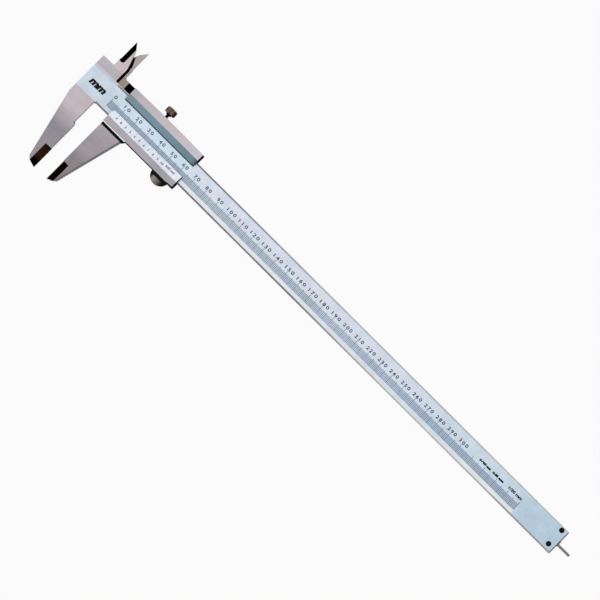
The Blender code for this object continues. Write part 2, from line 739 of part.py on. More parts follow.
def make_depth_bar_guide():
    """Plate behind the beam's end: it closes the groove over the depth bar and stops the slider."""
    y = GUIDE_NOSE_Y
    half, nose = GUIDE_NOSE_HALF, BEAM_RIGHT + GUIDE_NOSE
    low, high = GUIDE_INSET, BEAM_WIDTH - GUIDE_INSET
    outline = [
        (GUIDE_LEFT, low),
        (BEAM_RIGHT, low),
        (BEAM_RIGHT, y - half),
        (nose, y - half + GUIDE_NOSE),
        (nose, y + half - GUIDE_NOSE),
        (BEAM_RIGHT, y + half),
        (BEAM_RIGHT, high),
        (GUIDE_LEFT, high),
    ]
    guide = plate("depth_bar_guide", outline, 0.0, WALL, CALIPER)
    for i, screw_y in enumerate(GUIDE_SCREW_Y):
        x, radius = GUIDE_SCREW_X, GUIDE_SCREW.shank + BORE_GAP
        start, end = (x, screw_y, GUIDE_HOLE_FLOOR), (x, screw_y, WALL + THROUGH)
        cut(guide, peg(f"cut_guide_tap_{i}", radius, start, end, CALIPER, cutter=True))
    return finish(guide, SATIN_CHROME)


def make_guide_screws():
    """Two slotted screws from the beam's face into the guide."""
    for i, y in enumerate(GUIDE_SCREW_Y):
        place = (GUIDE_SCREW_X, y, GUIDE_SCREW_FACE)
        flush_fastener(f"guide_screw_{i + 1}", GUIDE_SCREW, place, CALIPER, BLACK_OXIDE, 1)


clear_scene()
PARTS = new_collection("vernier_caliper")
CUTTERS = new_collection("cutters")

SATIN_CHROME = metal("satin_chrome", (0.62, 0.70, 0.76), 0.45)
GROUND_STEEL = metal("ground_steel", (0.52, 0.48, 0.50), 0.35)
DARK_STEEL = metal("dark_steel", (0.16, 0.14, 0.12), 0.45)
BRIGHT_STEEL = metal("bright_steel", (0.60, 0.60, 0.62), 0.25)
BLACK_OXIDE = metal("black_oxide", (0.012, 0.012, 0.014), 0.4)
BRONZE = metal("dark_bronze", (0.14, 0.07, 0.045), 0.4)
BRASS = metal("brass", (0.55, 0.40, 0.16), 0.35)

MIDDLE_X = (HEAD_LEFT + BEAM_RIGHT + OPENING) / 2
MIDDLE_Y = (FIXED_TIP_Y + INSIDE_TIP_Y) / 2
CALIPER = new_empty("caliper", None, (-MIDDLE_X, -MIDDLE_Y, 0.0))
SLIDER = new_empty("slider", CALIPER, (OPENING, 0.0, 0.0))

make_main_beam()
make_slider_body()
make_finger_rest()
make_gib_strip()
make_set_screws()
make_lock_screw()
make_back_plate()
make_depth_bar()
make_back_fasteners()
make_depth_bar_guide()
make_guide_screws()
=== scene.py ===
"""Looks for a 300 mm vernier caliper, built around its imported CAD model.

The beam and the slider are skins: their CAD shapes, cut into zones that each have
their own finish. The scales and notes are thin inlays. The lock screw and the finger
rest are drawn here, and the other CAD solids only get better materials.
"""

import json
import math
from collections import namedtuple

import bmesh
import bpy
from mathutils import Matrix, Vector


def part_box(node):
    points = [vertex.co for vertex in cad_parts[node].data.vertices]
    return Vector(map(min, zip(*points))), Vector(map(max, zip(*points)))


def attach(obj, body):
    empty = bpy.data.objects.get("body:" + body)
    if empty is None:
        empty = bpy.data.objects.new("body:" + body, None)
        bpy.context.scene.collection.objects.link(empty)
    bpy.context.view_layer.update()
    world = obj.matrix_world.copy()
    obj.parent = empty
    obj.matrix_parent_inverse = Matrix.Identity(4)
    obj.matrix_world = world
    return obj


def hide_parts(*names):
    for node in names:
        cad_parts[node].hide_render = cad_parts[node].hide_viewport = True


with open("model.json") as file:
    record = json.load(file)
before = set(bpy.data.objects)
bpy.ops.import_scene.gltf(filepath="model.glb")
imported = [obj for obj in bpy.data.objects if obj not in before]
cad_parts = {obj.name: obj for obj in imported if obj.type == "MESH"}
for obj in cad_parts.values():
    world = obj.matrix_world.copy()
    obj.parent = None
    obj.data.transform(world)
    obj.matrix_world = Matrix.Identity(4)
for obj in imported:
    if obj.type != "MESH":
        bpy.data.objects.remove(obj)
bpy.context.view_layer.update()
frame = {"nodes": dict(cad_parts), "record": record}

MM = 0.001
Metal = namedtuple("Metal", "stops axis rough grain size bump metallic specular")

# ---------------------------------------------------------------- places

MOUNTS = {mount["name"]: mount["pos_m"] for mount in frame["record"]["mounts"]}
FIXED_X = MOUNTS["fixed_outer_jaw_face"][0]
MOVING_X = MOUNTS["moving_outer_jaw_face"][0]
GUIDE_INSET = 0.6 * MM
BEAM_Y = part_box("depth_bar_guide")[0].y - GUIDE_INSET
BEAM_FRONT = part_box("main_beam")[1].z
SLIDER_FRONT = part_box("slider_body")[1].z
BEAM_LENGTH = (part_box("main_beam")[1].x - FIXED_X) / MM

# Everything below is in mm: x from a measuring face, y from the beam's lower edge.
BEAM_WIDTH = 18.0
SCALE_ZERO = 5.2
SCALE_END = 350
BEVEL_LOW_Y, BEVEL_HIGH_Y, BEVEL_DROP = 0.4, 5.4, 1.7


def beam_point(x, y, lift=0.0):
    """A point on the beam's face, or lift mm above it."""
    return Vector((FIXED_X + x * MM, BEAM_Y + y * MM, BEAM_FRONT + lift * MM))


def vernier_point(x, y, lift=0.0):
    """A point on the slider's vernier bevel, or lift mm above it."""
    slope = BEVEL_DROP / (BEVEL_HIGH_Y - BEVEL_LOW_Y)
    z = SLIDER_FRONT + (lift - (y - BEVEL_LOW_Y) * slope) * MM
    return Vector((MOVING_X + x * MM, BEAM_Y + y * MM, z))


# ---------------------------------------------------------------- materials

class Graph:
    """Builds a material's nodes."""

    def __init__(self, name):
        self.material = bpy.data.materials.new(name)
        self.material.use_nodes = True
        self.tree = self.material.node_tree
        self.shader = self.tree.nodes["Principled BSDF"]
        self.place = self.add("ShaderNodeTexCoord").outputs["Object"]

    def set(self, node, inputs):
        for key, value in inputs.items():
            socket = node.inputs[key]
            if isinstance(value, bpy.types.NodeSocket):
                self.tree.links.new(value, socket)
            else:
                socket.default_value = value

    def add(self, kind, inputs=None, **settings):
        node = self.tree.nodes.new(kind)
        for key, value in settings.items():
            setattr(node, key, value)
        self.set(node, inputs or {})
        return node

    def noise(self, size, stretch=(1.0, 1.0, 1.0), detail=3.0):
        """Noise whose features are about size metres across."""
        mapping = self.add("ShaderNodeMapping", {"Vector": self.place, "Scale": stretch})
        inputs = {"Vector": mapping.outputs[0], "Scale": 1 / size, "Detail": detail}
        return self.add("ShaderNodeTexNoise", inputs).outputs["Fac"]

    def span(self, value, low, high, start=0.3, end=0.7):
        """value mapped from start..end to low..high."""
        inputs = {"Value": value, "From Min": start, "From Max": end}
        inputs.update({"To Min": low, "To Max": high})
        return self.add("ShaderNodeMapRange", inputs).outputs[0]

    def around_one(self, value, depth):
        """Noise as a grey amount from 1 - depth to 1 + depth."""
        return self.span(value, 1.0 - depth, 1.0 + depth)

    def times(self, colour, amount):
        """colour darkened or lightened by a grey amount."""
        node = self.add("ShaderNodeMix", data_type="RGBA", blend_type="MULTIPLY")
        node.inputs[0].default_value = 1.0
        self.set(node, {6: colour, 7: amount})
        return node.outputs[2]

    def blend(self, amount, first, second):
        """first turning into second as amount goes from 0 to 1."""
        node = self.add("ShaderNodeMix", data_type="RGBA")
        self.set(node, {0: amount, 6: first, 7: second})
        return node.outputs[2]


def ramp_colour(graph, stops, axis):
    """Colour that changes along one axis; stops are (metres, linear colour)."""
    if len(stops) == 1:
        return (*stops[0][1], 1.0)
    split = graph.add("ShaderNodeSeparateXYZ", {0: graph.place})
    first, last = stops[0][0], stops[-1][0]
    along = graph.span(split.outputs[axis], 0.0, 1.0, first, last)
    ramp = graph.add("ShaderNodeValToRGB", {0: along})
    elements = ramp.color_ramp.elements
    while len(elements) < len(stops):
        elements.new(0.5)
    for element, (place, colour) in zip(elements, stops):
        element.position = (place - first) / (last - first)
    for element, (place, colour) in zip(elements, stops):
        element.color = (*colour, 1.0)
    return ramp.outputs[0]


# How uneven a metal is: sizes in metres, depths as shares of the colour or gloss.
WARM_CAST = (1.03, 0.99, 0.985, 1.0)
COOL_CAST = (0.97, 1.005, 1.02, 1.0)
CAST_SIZE, PATCH_SIZE, STREAK_SIZE = 5 * MM, 8 * MM, 1.1 * MM
PATCH_DEPTH, STREAK_DEPTH, LINE_DEPTH = 0.05, 0.035, 0.05
SMOOTHER, ROUGHER = 0.05, 0.06
BUMP_HEIGHT = 0.02 * MM


def metal(name, kind):
    """Steel or chrome with grain, cloudy patches, fine scratches and uneven gloss."""
    graph = Graph(name)
    base = ramp_colour(graph, kind.stops, kind.axis)
    cast = graph.blend(graph.span(graph.noise(CAST_SIZE), 0.0, 1.0), WARM_CAST, COOL_CAST)
    patches = graph.around_one(graph.noise(PATCH_SIZE, detail=4.0), PATCH_DEPTH)
    streaks = graph.around_one(graph.noise(STREAK_SIZE, kind.grain, 2.0), STREAK_DEPTH)
    colour = graph.times(graph.times(graph.times(base, cast), patches), streaks)
    lines = graph.noise(kind.size, kind.grain, 4.0)
    colour = graph.times(colour, graph.around_one(lines, LINE_DEPTH))
    rough = graph.span(lines, kind.rough - SMOOTHER, kind.rough + ROUGHER)
    bump_inputs = {"Height": lines, "Strength": kind.bump, "Distance": BUMP_HEIGHT}
    bump = graph.add("ShaderNodeBump", bump_inputs)
    graph.set(
        graph.shader,
        {
            "Base Color": colour,
            "Roughness": rough,
            "Normal": bump.outputs[0],
            "Metallic": kind.metallic,
            "Specular IOR Level": kind.specular,
        },
    )
    return graph.material


def tone(
    *stops,
    axis="X",
    rough=0.5,
    grain=(1, 1, 1),
    size=0.25 * MM,
    bump=0.15,
    metallic=1.0,
    specular=0.5,
):
    """A finish: one or more (metres, linear colour) stops along an axis, and its grain."""
    return Metal(stops, axis, rough, grain, size, bump, metallic, specular)


# Grain is noise drawn out along X or along Y.
LENGTHWISE = (0.06, 1.0, 1.0)
CROSSWISE = (1.0, 0.06, 1.0)


def at_x(x):
    """Metres along X, from mm past the fixed measuring face."""
    return FIXED_X + x * MM


def at_y(y):
    """Metres along Y, from mm above the beam's lower edge."""
    return BEAM_Y + y * MM


# Linear base colours. Names that end in a number are patches along the beam, in mm,
# and names that end in a letter follow one another along a jaw or a lip.
# Their change along the beam is partly the metal's own tone and partly painted light and shade.
COLOURS = {
    "satin_head": (0.6943, 0.7924, 0.8714),
    "satin_win": (0.7378, 0.877, 0.97),
    "satin_70": (0.7969, 0.8541, 0.9356),
    "satin_110": (0.7892, 0.8407, 0.9229),
    "satin_150": (0.7958, 0.8547, 0.9352),
    "satin_190": (0.8009, 0.8636, 0.9391),
    "satin_230": (0.7941, 0.8638, 0.9471),
    "satin_270": (0.7557, 0.8466, 0.9184),
    "satin_310": (0.734, 0.8533, 0.9449),
    "satin_end": (0.611, 0.7646, 0.8696),
    "scale_win": (0.461, 0.5638, 0.6701),
    "scale_70": (0.6009, 0.6937, 0.7815),
    "scale_110": (0.6101, 0.6958, 0.8021),
    "scale_150": (0.558, 0.6494, 0.754),
    "scale_190": (0.6326, 0.7322, 0.8507),
    "scale_230": (0.5707, 0.6741, 0.8006),
    "scale_270": (0.5217, 0.6464, 0.7904),
    "scale_310": (0.5123, 0.6247, 0.7554),
    "strip_70": (0.8711, 0.9162, 0.97),
    "strip_110": (0.8881, 0.9438, 0.97),
    "strip_150": (0.8608, 0.9271, 0.97),
    "strip_190": (0.8506, 0.9085, 0.97),
    "strip_230": (0.8339, 0.8778, 0.9337),
    "strip_270": (0.8342, 0.9012, 0.97),
    "strip_310": (0.916, 0.97, 0.97),
    "low_70": (0.2869, 0.2902, 0.3052),
    "low_110": (0.347, 0.3525, 0.353),
    "low_150": (0.2808, 0.2844, 0.3021),
    "low_190": (0.5325, 0.5338, 0.5483),
    "low_230": (0.7, 0.7074, 0.6942),
    "low_270": (0.7495, 0.7487, 0.7715),
    "low_310": (0.6372, 0.6717, 0.688),
    "tail_edge": (0.1316, 0.1072, 0.1395),
    "low_end": (0.4799, 0.4756, 0.4833),
    "high_70": (0.3084, 0.33, 0.3631),
    "high_110": (0.4113, 0.4411, 0.4961),
    "high_150": (0.5397, 0.5734, 0.622),
    "high_190": (0.6156, 0.67, 0.7203),
    "high_230": (0.636, 0.6944, 0.7559),
    "high_270": (0.5852, 0.6452, 0.6933),
    "high_310": (0.6749, 0.7472, 0.8032),
    "high_end": (0.6671, 0.7643, 0.8147),
    "head_band": (0.6105, 0.6314, 0.7053),
    "head_left": (0.5408, 0.511, 0.5447),
    "jaw_a": (0.6153, 0.5557, 0.5946),
    "jaw_b": (0.639, 0.5599, 0.5905),
    "jaw_c": (0.3131, 0.3059, 0.3488),
    "jaw_d": (0.3535, 0.3352, 0.369),
    # Painted dark reflections of the polished nibs, knife edges and arm facet; the knife black
    # also paints the fixed inside jaw's shadow.
    "nib_moving": (0.0051, 0.0013, 0.0011),
    "knife": (0.0008, 0.0008, 0.0008),
    "inside_fixed": (0.6551, 0.5734, 0.5848),
    "mjaw_a": (0.4671, 0.4337, 0.4495),
    "mjaw_b": (0.4037, 0.3552, 0.3828),
    "mjaw_c": (0.4094, 0.3806, 0.3977),
    "mjaw_d": (0.308, 0.2758, 0.2956),
    "inside_moving": (0.472, 0.4309, 0.4278),
    # Partly the arm's own brownish tone, partly painted shade as it lies deeper than the head.
    "tan": (0.3794, 0.3122, 0.2597),
    # Painted dark reflection of the arm's sloping facet.
    "ramp": (0.0024, 0.0008, 0.0011),
    "lip_high_a": (0.5498, 0.5123, 0.5529),
    "lip_high_b": (0.6273, 0.5627, 0.5776),
    "lip_high_c": (0.6592, 0.6268, 0.6772),
    "teal_a": (0.3358, 0.4542, 0.5296),
    "teal_b": (0.31, 0.4712, 0.5633),
    "teal_c": (0.2753, 0.4037, 0.4713),
    "vernier_a": (0.8167, 0.8786, 0.9477),
    "vernier_b": (0.7696, 0.835, 0.9324),
    "vernier_c": (0.8673, 0.8854, 0.95),
    "lip_low_a": (0.4844, 0.4552, 0.48),
    "lip_low_b": (0.4886, 0.4524, 0.4968),
    "lip_low_c": (0.4301, 0.426, 0.4633),
    # Painted highlight along the lower lip's rounded foot.
    "lip_edge": (0.97, 0.97, 0.97),
    # Painted shade on upright walls, darker on those facing +X.
    "side": (0.22, 0.22, 0.23),
    "side_shade": (0.1, 0.095, 0.1),
    # Black as painted shade and painted shadow.
    "shadow_tone": (0.012, 0.011, 0.012),
    "jaw_line": (0.2, 0.19, 0.2),
    # Painted shade along the moving jaw's outer side.
    "jaw_side": (0.19, 0.172, 0.184),
    # Painted shadow at the foot of the upper bevel.
    "bevel_foot": (0.03, 0.06, 0.08),
    # Painted reflection on the fixed jaw's measuring side.
    "reflection_tone": (0.9, 0.9, 0.92),
    "bronze": (0.135, 0.08, 0.06),
    "rod": (0.26, 0.26, 0.265),
}
PATCHES = (70, 110, 150, 190, 230, 270, 310)
PATCH_MIDDLE = 16.0


def along_beam(prefix, before, after):
    """Colour stops along the beam: the patches' middles, with (x, name) stops at both ends."""
    stops = [(at_x(x), COLOURS[key]) for x, key in before]
    stops += [(at_x(x + PATCH_MIDDLE), COLOURS[f"{prefix}_{x}"]) for x in PATCHES]
    return stops + [(at_x(x), COLOURS[key]) for x, key in after]


def rise_y(prefix, places):
    """Colour stops up a jaw: places are (y, letter)."""
    return [(at_y(y), COLOURS[f"{prefix}_{letter}"]) for y, letter in places]


def over_slider(prefix):
    """Colour stops along the slider's front lips."""
    places = {"a": 19, "b": 38, "c": 60}
    return [(at_x(x), COLOURS[f"{prefix}_{letter}"]) for letter, x in places.items()]


# Dull black, for painted dark reflections and painted shadows.
PAINTED_DARK = {"rough": 0.6, "metallic": 0.0, "specular": 0.0, "bump": 0.05}
FINE = {"rough": 0.56, "size": 0.12 * MM, "bump": 0.1}
SATIN_START = (
    (-6, "satin_head"),
    (8, "satin_head"),
    (16, "satin_win"),
    (64, "satin_win"),
    (70, "satin_70"),
)
SATIN_FINISH = ((350.0, "satin_310"), (360.0, "satin_end"))
SCALE_START = ((0, "scale_win"), (66, "scale_win"))
STRIP_START = ((0, "satin_head"), (10, "satin_head"), (66, "strip_70"))
LOW_FINISH = ((358, "low_end"), (380, "low_end"))
HIGH_FINISH = ((358, "high_end"), (380, "high_end"))
SATIN = tone(*along_beam("satin", SATIN_START, SATIN_FINISH), **FINE)
SCALE = tone(*along_beam("scale", SCALE_START, ((356, "scale_310"),)), **FINE)
STRIP = tone(*along_beam("strip", STRIP_START, ((356, "strip_310"),)), **FINE)
EDGE_LOW = tone(*along_beam("low", ((0, "low_70"),), LOW_FINISH), **FINE)
EDGE_HIGH = tone(*along_beam("high", ((0, "high_70"),), HIGH_FINISH), **FINE)

FIXED_ROWS = ((-38, "d"), (-27, "c"), (-11, "b"), (-3, "a"))
MOVING_ROWS = ((-34, "d"), (-25, "c"), (-17, "b"), (-9, "a"))
FIXED_JAW = tone(*rise_y("jaw", FIXED_ROWS), axis="Y", grain=LENGTHWISE)
MOVING_JAW = tone(*rise_y("mjaw", MOVING_ROWS), axis="Y", grain=LENGTHWISE)
# The fixed nib's facet is black as a painted dark reflection, a little brown in its middle.
FIXED_NIB = tone(
    (at_y(-53.5), (0.002, 0.001, 0.001)),
    (at_y(-50.0), (0.006, 0.003, 0.002)),
    (at_y(-47.0), (0.032, 0.015, 0.006)),
    (at_y(-41.0), (0.026, 0.012, 0.005)),
    (at_y(-38.5), (0.012, 0.005, 0.003)),
    axis="Y",
    **PAINTED_DARK,
)

BEVEL_RIGHT = ((at_x(65.5), COLOURS["teal_c"]), (at_x(69.0), (0.12, 0.19, 0.23)))
UPPER_LIP = tone(*over_slider("lip_high"), grain=LENGTHWISE)
UPPER_BEVEL = tone(*over_slider("teal"), *BEVEL_RIGHT, **FINE)
VERNIER = tone(*over_slider("vernier"), **FINE)
LOWER_LIP = tone(*over_slider("lip_low"), grain=LENGTHWISE)

# Painted highlight and shade: bright and dark bands along X, as the light falls on round shapes
# seen from above.
GRIP = tone(
    (at_x(53.2), (0.005, 0.004, 0.004)),
    (at_x(54.7), (0.035, 0.031, 0.027)),
    (at_x(56.0), (0.35, 0.32, 0.29)),
    (at_x(57.6), (0.27, 0.247, 0.22)),
    (at_x(59.8), (0.165, 0.152, 0.134)),
    (at_x(61.6), (0.05, 0.045, 0.04)),
    (at_x(63.2), (0.008, 0.007, 0.006)),
    rough=0.5,
)
# The knob's bands are painted highlight and shade as well.
KNOB = tone(
    (at_x(32.6), (0.07, 0.044, 0.036)),
    (at_x(33.9), (0.32, 0.225, 0.185)),
    (at_x(35.8), (0.075, 0.043, 0.035)),
    (at_x(37.2), (0.26, 0.17, 0.143)),
    (at_x(38.6), (0.012, 0.005, 0.005)),
    rough=0.3,
)


def plain(key, **settings):
    """A finish with one base colour."""
    return tone((0.0, COLOURS[key]), **settings)


METALS = {
    "satin_chrome": SATIN,
    "scale_band": SCALE,
    "scale_margin": STRIP,
    "edge_low": EDGE_LOW,
    "edge_high": EDGE_HIGH,
    "tail_edge": plain("tail_edge", **FINE),
    "head_band": plain("head_band", grain=LENGTHWISE),
    "head_ground": plain("head_left", grain=LENGTHWISE),
    "fixed_jaw": FIXED_JAW,
    # The nibs, knife edges and arm facet are black as painted dark reflections.
    "fixed_nib": FIXED_NIB,
    "moving_nib": plain("nib_moving", **PAINTED_DARK),
    "knife_edge": plain("knife", **PAINTED_DARK),
    "inside_fixed": plain("inside_fixed", grain=CROSSWISE),
    "moving_jaw": MOVING_JAW,
    "inside_moving": plain("inside_moving", grain=CROSSWISE),
    # The arm's tan is partly its own tone and partly painted shade.
    "arm": plain("tan", grain=LENGTHWISE),
    "arm_pocket": plain("ramp", **PAINTED_DARK),
    "upper_lip": UPPER_LIP,
    "upper_bevel": UPPER_BEVEL,
    "vernier_bevel": VERNIER,
    "lower_lip": LOWER_LIP,
    # Painted highlight along the lower lip's foot.
    "lip_edge": plain("lip_edge", grain=LENGTHWISE),
    # Upright walls in painted shade, darker where they face +X.
    "side_steel": plain("side", rough=0.4, grain=LENGTHWISE),
    "dark_side_steel": plain("side_shade", rough=0.45, grain=LENGTHWISE),
    # Dull black as painted shade on walls facing +X and in narrow shaded bands.
    "end_steel": plain("shadow_tone", **PAINTED_DARK),
    # The lower lip's painted shadow on the moving jaw.
    "jaw_root": plain("shadow_tone", **PAINTED_DARK),
    "jaw_line": plain("jaw_line", grain=CROSSWISE),
    # Painted shade along the moving jaw's outer side.
    "jaw_side": plain("jaw_side", grain=CROSSWISE),
    # Painted shadow at the foot of the upper bevel.
    "bevel_foot": plain("bevel_foot", **FINE),
    # Painted bright reflection on the fixed jaw's measuring side.
    "gauge_steel": plain("reflection_tone", rough=0.2, grain=LENGTHWISE),
    "grip_steel": GRIP,
    "bronze": plain("bronze", rough=0.3),
    "knob_bronze": KNOB,
    "rod_steel": plain("rod", rough=0.5, grain=LENGTHWISE),
}
MATERIALS = {name: metal(name, kind) for name, kind in METALS.items()}


COATING_SPECULAR = 0.12
SPECK_SIZE, SHADE_SIZE, GLOSS_SIZE = 0.12 * MM, 1.5 * MM, 0.4 * MM
SPECK_FROM, SPECK_TO = 0.62, 0.75
SHADE_DEPTH, GLOSS_CHANGE = 0.15, 0.08


def coating(name, stops, worn, rough=0.5):
    """Paint or oxide with small worn specks; stops are (metres along X, colour)."""
    graph = Graph(name)
    noise = graph.noise(SPECK_SIZE, detail=5.0)
    specks = graph.span(noise, 0.0, 1.0, SPECK_FROM, SPECK_TO)
    tint = graph.blend(specks, ramp_colour(graph, stops, "X"), (*worn, 1.0))
    colour = graph.times(tint, graph.around_one(graph.noise(SHADE_SIZE), SHADE_DEPTH))
    gloss = graph.span(graph.noise(GLOSS_SIZE), rough - GLOSS_CHANGE, rough + GLOSS_CHANGE)
    inputs = {"Base Color": colour, "Roughness": gloss, "Specular IOR Level": COATING_SPECULAR}
    graph.set(graph.shader, inputs)
    return graph.material


# Name: (colour stops along X, colour of the worn specks).
COATINGS = {
    "scale_ink": (
        (
            (at_x(30), (0.1, 0.145, 0.21)),
            (at_x(115), (0.055, 0.095, 0.155)),
            (at_x(300), (0.015, 0.035, 0.07)),
        ),
        (0.1, 0.12, 0.14),
    ),
    "vernier_ink": (((0.0, (0.3, 0.33, 0.38)),), (0.4, 0.42, 0.45)),
    "note_ink": (((0.0, (0.004, 0.006, 0.01)),), (0.02, 0.02, 0.03)),
    # Black oxide of the screws, and also the painted shadow on the finger rest.
    "black_oxide": (((0.0, (0.002, 0.002, 0.003)),), (0.012, 0.012, 0.013)),
}
MATERIALS.update({name: coating(name, *kind) for name, kind in COATINGS.items()})


# ---------------------------------------------------------------- shapes

SAME_PLACE = 0.001 * MM
SHORT_EDGE = 0.002 * MM
FLAT_ANGLE = math.radians(0.4)
ROUND_ANGLE = math.radians(30)
SKIN_EDGE = 0.09 * MM

# Parts of a face's normal, which tell flat faces, bevels, facets and walls apart.
FLAT, TILTED, CHAMFERED, UPRIGHT = 0.98, 0.85, 0.5, 0.1
LEANING = 0.2


def add_piece(name, mesh, body, replaced=()):
    """A new object that rides on a body and stands for the replaced CAD nodes."""
    piece = bpy.data.objects.new(name, mesh)
    bpy.context.scene.collection.objects.link(piece)
    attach(piece, body)
    if replaced:
        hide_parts(*replaced)
    return piece


def soften(piece, width, segments=2, angle=28.0):
    """Small rounded edges, as left by a light deburring."""
    bevel = piece.modifiers.new("edges", "BEVEL")
    bevel.width = width
    bevel.segments = segments
    bevel.limit_method = "ANGLE"
    bevel.angle_limit = math.radians(angle)
    bevel.use_clamp_overlap = False
    bevel.harden_normals = True


def cut_through(shape, where, normal):
    """Splits every face that the plane crosses."""
    everything = shape.verts[:] + shape.edges[:] + shape.faces[:]
    bmesh.ops.bisect_plane(
        shape, geom=everything, dist=SAME_PLACE, plane_co=where, plane_no=normal
    )


def skin(name, node, body, cuts, zone_of, start_x):
    """The CAD solid's shape as a new piece, cut into zones, each with its own finish.

    A cut is a line seen from above, ((x, y), (run, rise)), with x in mm from start_x.
    """
    mesh = frame["nodes"][node].data.copy()
    mesh.name = name
    shape = bmesh.new()
    shape.from_mesh(mesh)
    bmesh.ops.remove_doubles(shape, verts=shape.verts, dist=SHORT_EDGE)
    bmesh.ops.dissolve_limit(
        shape, angle_limit=FLAT_ANGLE, verts=shape.verts, edges=shape.edges
    )
    for (x, y), (run, rise) in cuts:
        where = Vector((start_x + x * MM, BEAM_Y + y * MM, 0.0))
        cut_through(shape, where, Vector((rise, -run, 0.0)).normalized())
    names = []
    mesh.materials.clear()
    for face in shape.faces:
        centre = face.calc_center_bounds()
        x, y, z = (centre.x - start_x) / MM, (centre.y - BEAM_Y) / MM, centre.z / MM
        zone = zone_of(x, y, z, face.normal)
        if zone not in names:
            names.append(zone)
            mesh.materials.append(MATERIALS[zone])
        face.material_index = names.index(zone)
        face.smooth = abs(face.normal.z) < UPRIGHT
    for edge in shape.edges:
        round_wall = all(face.smooth for face in edge.link_faces)
        edge.smooth = round_wall and edge.calc_face_angle(0.0) < ROUND_ANGLE
    shape.to_mesh(mesh)
    shape.free()
    piece = add_piece(name, mesh, body, (node,))
    soften(piece, SKIN_EDGE)
    return piece


# Where the zones meet, in mm.
SCALE_MARGIN = 0.3
SCALE_LEFT = SCALE_ZERO - SCALE_MARGIN
SCALE_RIGHT = SCALE_ZERO + SCALE_END + SCALE_MARGIN
STRIP_TOP, BAND_TOP = 3.6, 8.3
EDGE_LEFT = -1.2
EDGE_LOW_TOP, EDGE_HIGH_FOOT = 1.2, 16.9
HEAD_RIGHT = 1.5
HEAD_LOW, HEAD_BAND_LOW, HEAD_BAND_HIGH, HEAD_TOP = 0.4, 16.5, 18.2, 24.2
TAIL_X = BEAM_LENGTH - 0.7
FACE_DEPTH = 0.2
RELIEF_X, STEP_Y, NIB_TOP = -1.4, -18.0, -38.6
LINE_WIDTH = 0.5
SCREW_X = (sum(corner.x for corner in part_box("guide_screw_1")) / 2 - FIXED_X) / MM
# Hole walls this near a guide screw are painted black as shade.
SCREW_REACH = 2.2

ARM_RIGHT, ARM_TOP, ARM_FACET_TOP = 1.0, 23.6, 24.2
LIP_DEPTH = 0.1
# Tops of the lower lip's painted highlight, of its painted shade line, and of that line near
# the right end.
LIP_HIGHLIGHT_TOP, LIP_LINE_TOP, LIP_END_TOP = -3.9, -3.77, -3.4
FLARE_X, LIP_END_X = 18.8, 54.0
# The lower lip's painted shadow covers the jaw between these two heights.
JAW_TOP, JAW_ROOT_Y = -4.0, -6.4
# Below this the upper bevel is painted dark, as shade at its foot.
BEVEL_FOOT_Y = 15.0
# From here to its right end the slider's top is painted black as shade.
END_STRIP_X = (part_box("slider_body")[1].x - MOVING_X) / MM - 0.5
JAW_SIDE_LINE = ((4.6, -50.8), (15.9, -6.7))
# The edge of the fixed inside jaw's painted shadow on the moving inside jaw.
JAW_SHADOW_LINE = ((-13.8, 37.9), (-12.1, 34.4), (-10.6, 29.4), (-10.2, 24.4))


def knife_x(y):
    """Where the fixed inside jaw's painted shadow on the moving inside jaw ends, at this
    height.
    """
    for (high_x, high_y), (low_x, low_y) in zip(JAW_SHADOW_LINE, JAW_SHADOW_LINE[1:]):
        if y > low_y:
            return low_x + (high_x - low_x) * (y - low_y) / (high_y - low_y)
    return JAW_SHADOW_LINE[-1][0]


def jaw_side_x(y):
    """Where the painted shade along the moving jaw's outer side starts, at this height."""
    (low_x, low_y), (high_x, high_y) = JAW_SIDE_LINE
    return low_x + (high_x - low_x) * (y - low_y) / (high_y - low_y)


def wall_zone(normal):
    """Finish of the faces that stand upright: steel with painted shade, darker on those facing
    +X, away from the light.
    """
    return "dark_side_steel" if normal.x > CHAMFERED else "side_steel"


def beam_zone(x, y, z, normal):
    """Which finish a face of the beam has."""
    # Facets are black as painted dark reflections.
    if normal.z > TILTED and abs(normal.x) > LEANING:
        return "fixed_nib" if y < 0 else "knife_edge"
    if normal.z > CHAMFERED and abs(normal.y) > CHAMFERED:
        return "edge_low" if y < BEAM_WIDTH / 2 else "edge_high"
    if normal.z < -TILTED:
        return "head_ground"
    # The walls round the guide screws' holes are painted black as shade.
    if abs(normal.z) < UPRIGHT and abs(x - SCREW_X) < SCREW_REACH:
        return "end_steel"
    # The fixed jaw's measuring side is painted bright as a reflection.
    if abs(normal.z) < UPRIGHT and normal.x > CHAMFERED and y < 0:
        return "gauge_steel"
    if normal.z < FLAT or z < BEAM_FRONT / MM - FACE_DEPTH:
        return wall_zone(normal)
    if y > HEAD_TOP:
        return "inside_fixed"
    if x > EDGE_LEFT and 0 < y < EDGE_LOW_TOP:
        return "edge_low"
    if x > TAIL_X:
        return "tail_edge"
    if x > HEAD_RIGHT and y > EDGE_HIGH_FOOT:
        return "edge_high"
    if SCALE_LEFT < x < SCALE_RIGHT and y < BAND_TOP:
        return "scale_margin" if y < STRIP_TOP else "scale_band"
    if x > HEAD_RIGHT or HEAD_LOW < y < HEAD_BAND_LOW:
        return "satin_chrome"
    if y < HEAD_LOW:
        edge = RELIEF_X if y > STEP_Y else 0.0
        return "jaw_line" if x > edge - LINE_WIDTH and y > NIB_TOP else "fixed_jaw"
    return "head_band" if y < HEAD_BAND_HIGH else "head_ground"


def lower_lip_zone(x, y):
    """Which finish the slider's lower lip has: its foot carries a painted highlight line, then
    further right a painted shade line.
    """
    if x < FLARE_X:
        return "lower_lip" if y > LIP_HIGHLIGHT_TOP else "lip_edge"
    line_top = LIP_LINE_TOP if x < LIP_END_X else LIP_END_TOP
    return "lower_lip" if y > line_top else "end_steel"


